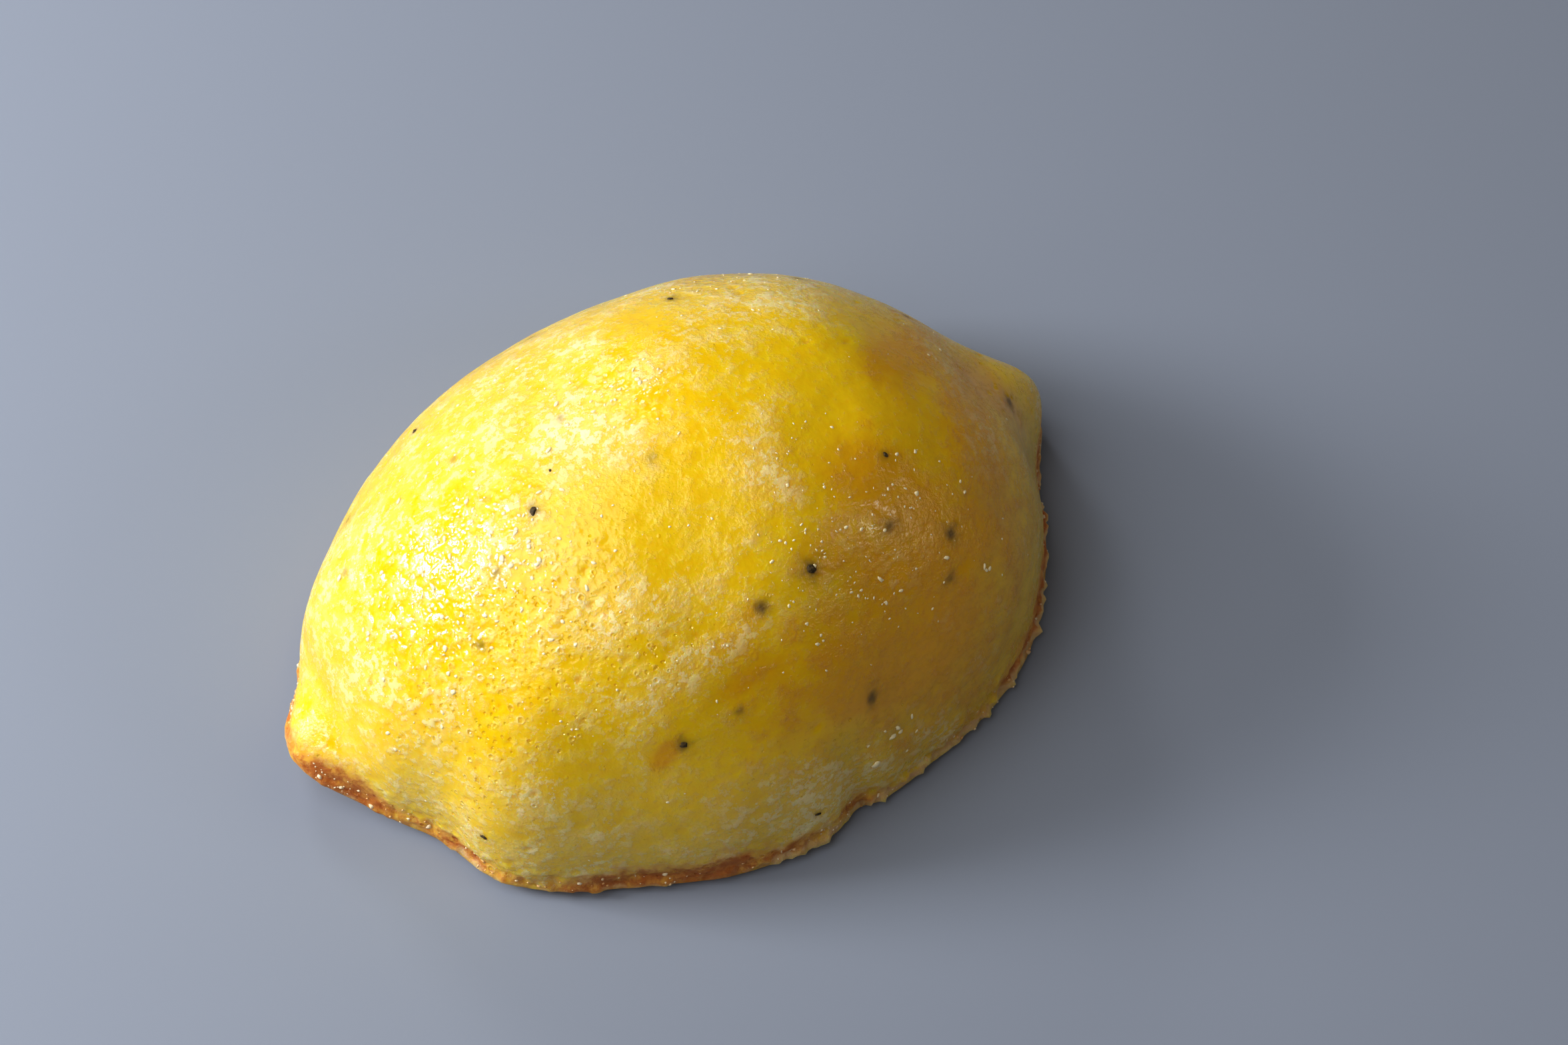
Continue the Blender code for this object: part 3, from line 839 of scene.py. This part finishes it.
def make_crumbs(places, normals, above):
    """Loose crumbs and flour grains caught on the rim."""
    generator = np.random.default_rng(CRUMB_PLACE_DRAW)
    draw = random.Random(CRUMB_SHAPE_DRAW)
    inside = (np.abs(places[:, 0]) < CRUMB_REACH[0]) & (np.abs(places[:, 1]) < CRUMB_REACH[1])
    weights = smooth_step(0.3 * MM, 0.8 * MM, above) * smooth_step(3.4 * MM, 1.0 * MM, above) * inside
    weights = weights * (normals[:, 2] > -0.1) * (0.3 + np.clip(noise_at(places, 4.0 * MM), 0.0, 1.0))
    rightward = smooth_step(-12.0 * MM, -4.0 * MM, places[:, 0])
    frontward = smooth_step(-18.0 * MM, -24.0 * MM, places[:, 1])
    weights *= 1.0 + 3.0 * rightward * frontward
    drawn = generator.choice(len(places), size=CRUMBS, replace=False, p=weights / weights.sum())
    bm = bmesh.new()
    for number in drawn.tolist():
        size = MM * min(CRUMB_GREATEST, CRUMB_LEAST + draw.expovariate(CRUMB_RATE))
        stretch = (size, size * draw.uniform(0.6, 1.0), size * draw.uniform(0.5, 0.8))
        point, normal = Vector(places[number]), Vector(normals[number])
        turn = draw.uniform(0.0, 6.28)
        add_grain(bm, lie_on(point, normal, 0.2 * size, turn, stretch), 1, draw, 0.8)
    new_piece("rim_crumbs", bm, crumb_finish())


def make_sponge():
    bm = bake_form()
    above = swell(bm)
    masks = relief(bm, above)
    places, normals = read_bmesh(bm)
    tree = BVHTree.FromBMesh(bm)
    masks["halo"] = halos(places, tree)
    sponge = new_piece("sponge", bm, sponge_finish())
    put_masks(sponge, masks)
    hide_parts("cake")
    make_seeds(tree)
    make_beads(tree)
    make_crumbs(places, normals, above)


# ---------------------------------------------------------------- camera, floor and light

LENS = 65.0
CAMERA_AZIMUTH, CAMERA_ELEVATION, CAMERA_DISTANCE = -28.65, 60.68, 0.2777
# How far the camera stands to the right of and above the line to the middle of the cake's foot
CAMERA_SHIFT = (0.00967, 0.00802)

# Lights: azimuth, elevation, distance, sizes and power
LIGHTS = {
    "window": (-122.0, 29.0, 0.45, (0.15, 0.12), 1.90),
    "high_window": (-108.0, 58.0, 0.45, (0.50, 0.45), 1.65),
    "back_window": (178.0, 32.0, 0.45, (0.10, 0.08), 0.30),
    "fill": (50.0, 33.0, 0.50, (0.11, 0.09), 0.20),
}
ROOM_COLOUR = (1.0, 0.86, 0.66, 1.0)
ROOM_STRENGTH = 0.11
FLOOR_COLOUR = rgb(0.25, 0.282, 0.352)
FLOOR_HALF_SIZE = 2.0
GAMMA = 0.87


def from_angles(azimuth, elevation, distance):
    """Place at a distance from the origin; azimuth 0 is in front, at -Y, and 90 at +X."""
    side, rise = math.radians(azimuth), math.radians(elevation)
    flat = distance * math.cos(rise)
    return Vector((flat * math.sin(side), -flat * math.cos(side), distance * math.sin(rise)))


def add_camera():
    data = bpy.data.cameras.new("camera")
    data.lens = LENS
    camera = bpy.data.objects.new("camera", data)
    bpy.context.scene.collection.objects.link(camera)
    side = math.radians(CAMERA_AZIMUTH)
    back = from_angles(CAMERA_AZIMUTH, CAMERA_ELEVATION, 1.0)
    right = Vector((math.cos(side), math.sin(side), 0.0))
    up = back.cross(right)
    turn = Matrix((right, up, back)).transposed().to_4x4()
    turn.translation = CAMERA_DISTANCE * back + CAMERA_SHIFT[0] * right + CAMERA_SHIFT[1] * up
    camera.matrix_world = turn
    bpy.context.scene.camera = camera


def add_light(name, azimuth, elevation, distance, size, power):
    """Rectangular light that faces the middle of the cake's foot."""
    data = bpy.data.lights.new(name, "AREA")
    data.shape = "RECTANGLE"
    data.size, data.size_y = size
    data.energy = power
    light = bpy.data.objects.new(name, data)
    bpy.context.scene.collection.objects.link(light)
    light.location = from_angles(azimuth, elevation, distance)
    light.rotation_euler = (-light.location).to_track_quat("-Z", "Y").to_euler()


def add_floor():
    bm = bmesh.new()
    bmesh.ops.create_grid(bm, x_segments=1, y_segments=1, size=FLOOR_HALF_SIZE)
    finish = Finish("pale_board")
    finish.set(Base_Color=FLOOR_COLOUR, Roughness=0.75)
    mesh = bpy.data.meshes.new("floor")
    bm.to_mesh(mesh)
    bm.free()
    mesh.materials.append(finish.material)
    floor = bpy.data.objects.new("floor", mesh)
    bpy.context.scene.collection.objects.link(floor)


def add_world():
    world = bpy.data.worlds.new("studio")
    world.use_nodes = True
    background = world.node_tree.nodes["Background"]
    background.inputs["Color"].default_value = ROOM_COLOUR
    background.inputs["Strength"].default_value = ROOM_STRENGTH
    bpy.context.scene.world = world


def main():
    bpy.context.scene.view_settings.view_transform = "Standard"
    bpy.context.scene.view_settings.gamma = GAMMA
    add_camera()
    for name, setting in LIGHTS.items():
        add_light(name, *setting)
    add_world()
    add_floor()
    make_sponge()


main()
